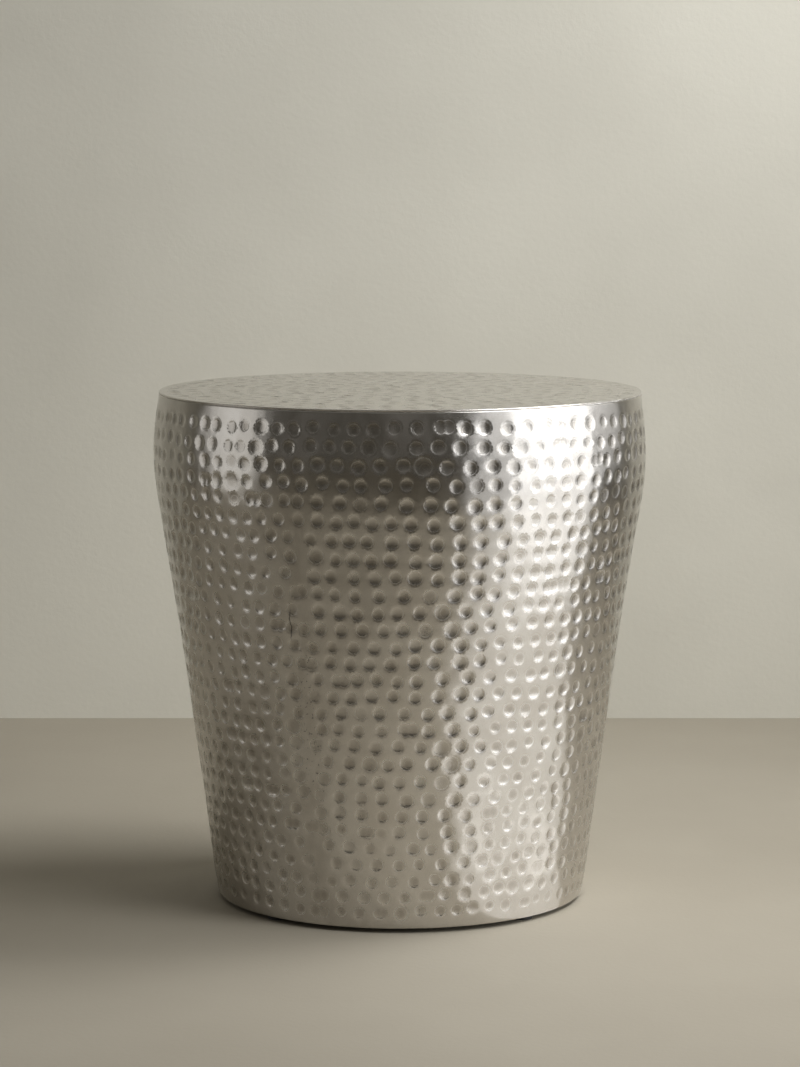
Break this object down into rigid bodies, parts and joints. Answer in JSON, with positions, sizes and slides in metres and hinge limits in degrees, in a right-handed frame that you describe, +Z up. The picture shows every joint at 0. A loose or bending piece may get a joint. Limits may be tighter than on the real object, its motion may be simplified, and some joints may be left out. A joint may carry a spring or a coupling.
{
  "type": "drum side table",
  "caption": "Round hammered aluminium drum side table: shouldered shell that tapers to a narrower foot, welded flat top, open underside with a folded flange on rubber glides.",
  "frame": {"origin": "on the floor, on the axis of the drum", "axes": "+Z up along the axis of the drum, -Y towards the front, +X to the right seen from the front"},
  "size_m": [0.454, 0.454, 0.47],
  "materials": {
    "hammered_aluminium": "warm pewter, hammered all over, satin and lightly aged",
    "mdf": "raw fibreboard",
    "rubber": "matt black",
    "zinc_steel": "zinc plated"
  },
  "bodies": {
    "root": {"side_shell": "hammered_aluminium", "top_disc": "hammered_aluminium", "backing_panel_left": "mdf", "backing_panel_right": "mdf", "glide_front_left": "rubber", "glide_front_right": "rubber", "glide_rear_left": "rubber", "glide_rear_right": "rubber", "glide_studs": "zinc_steel", "glide_washers": "zinc_steel", "glide_nuts": "zinc_steel"}
  },
  "joints": []
}
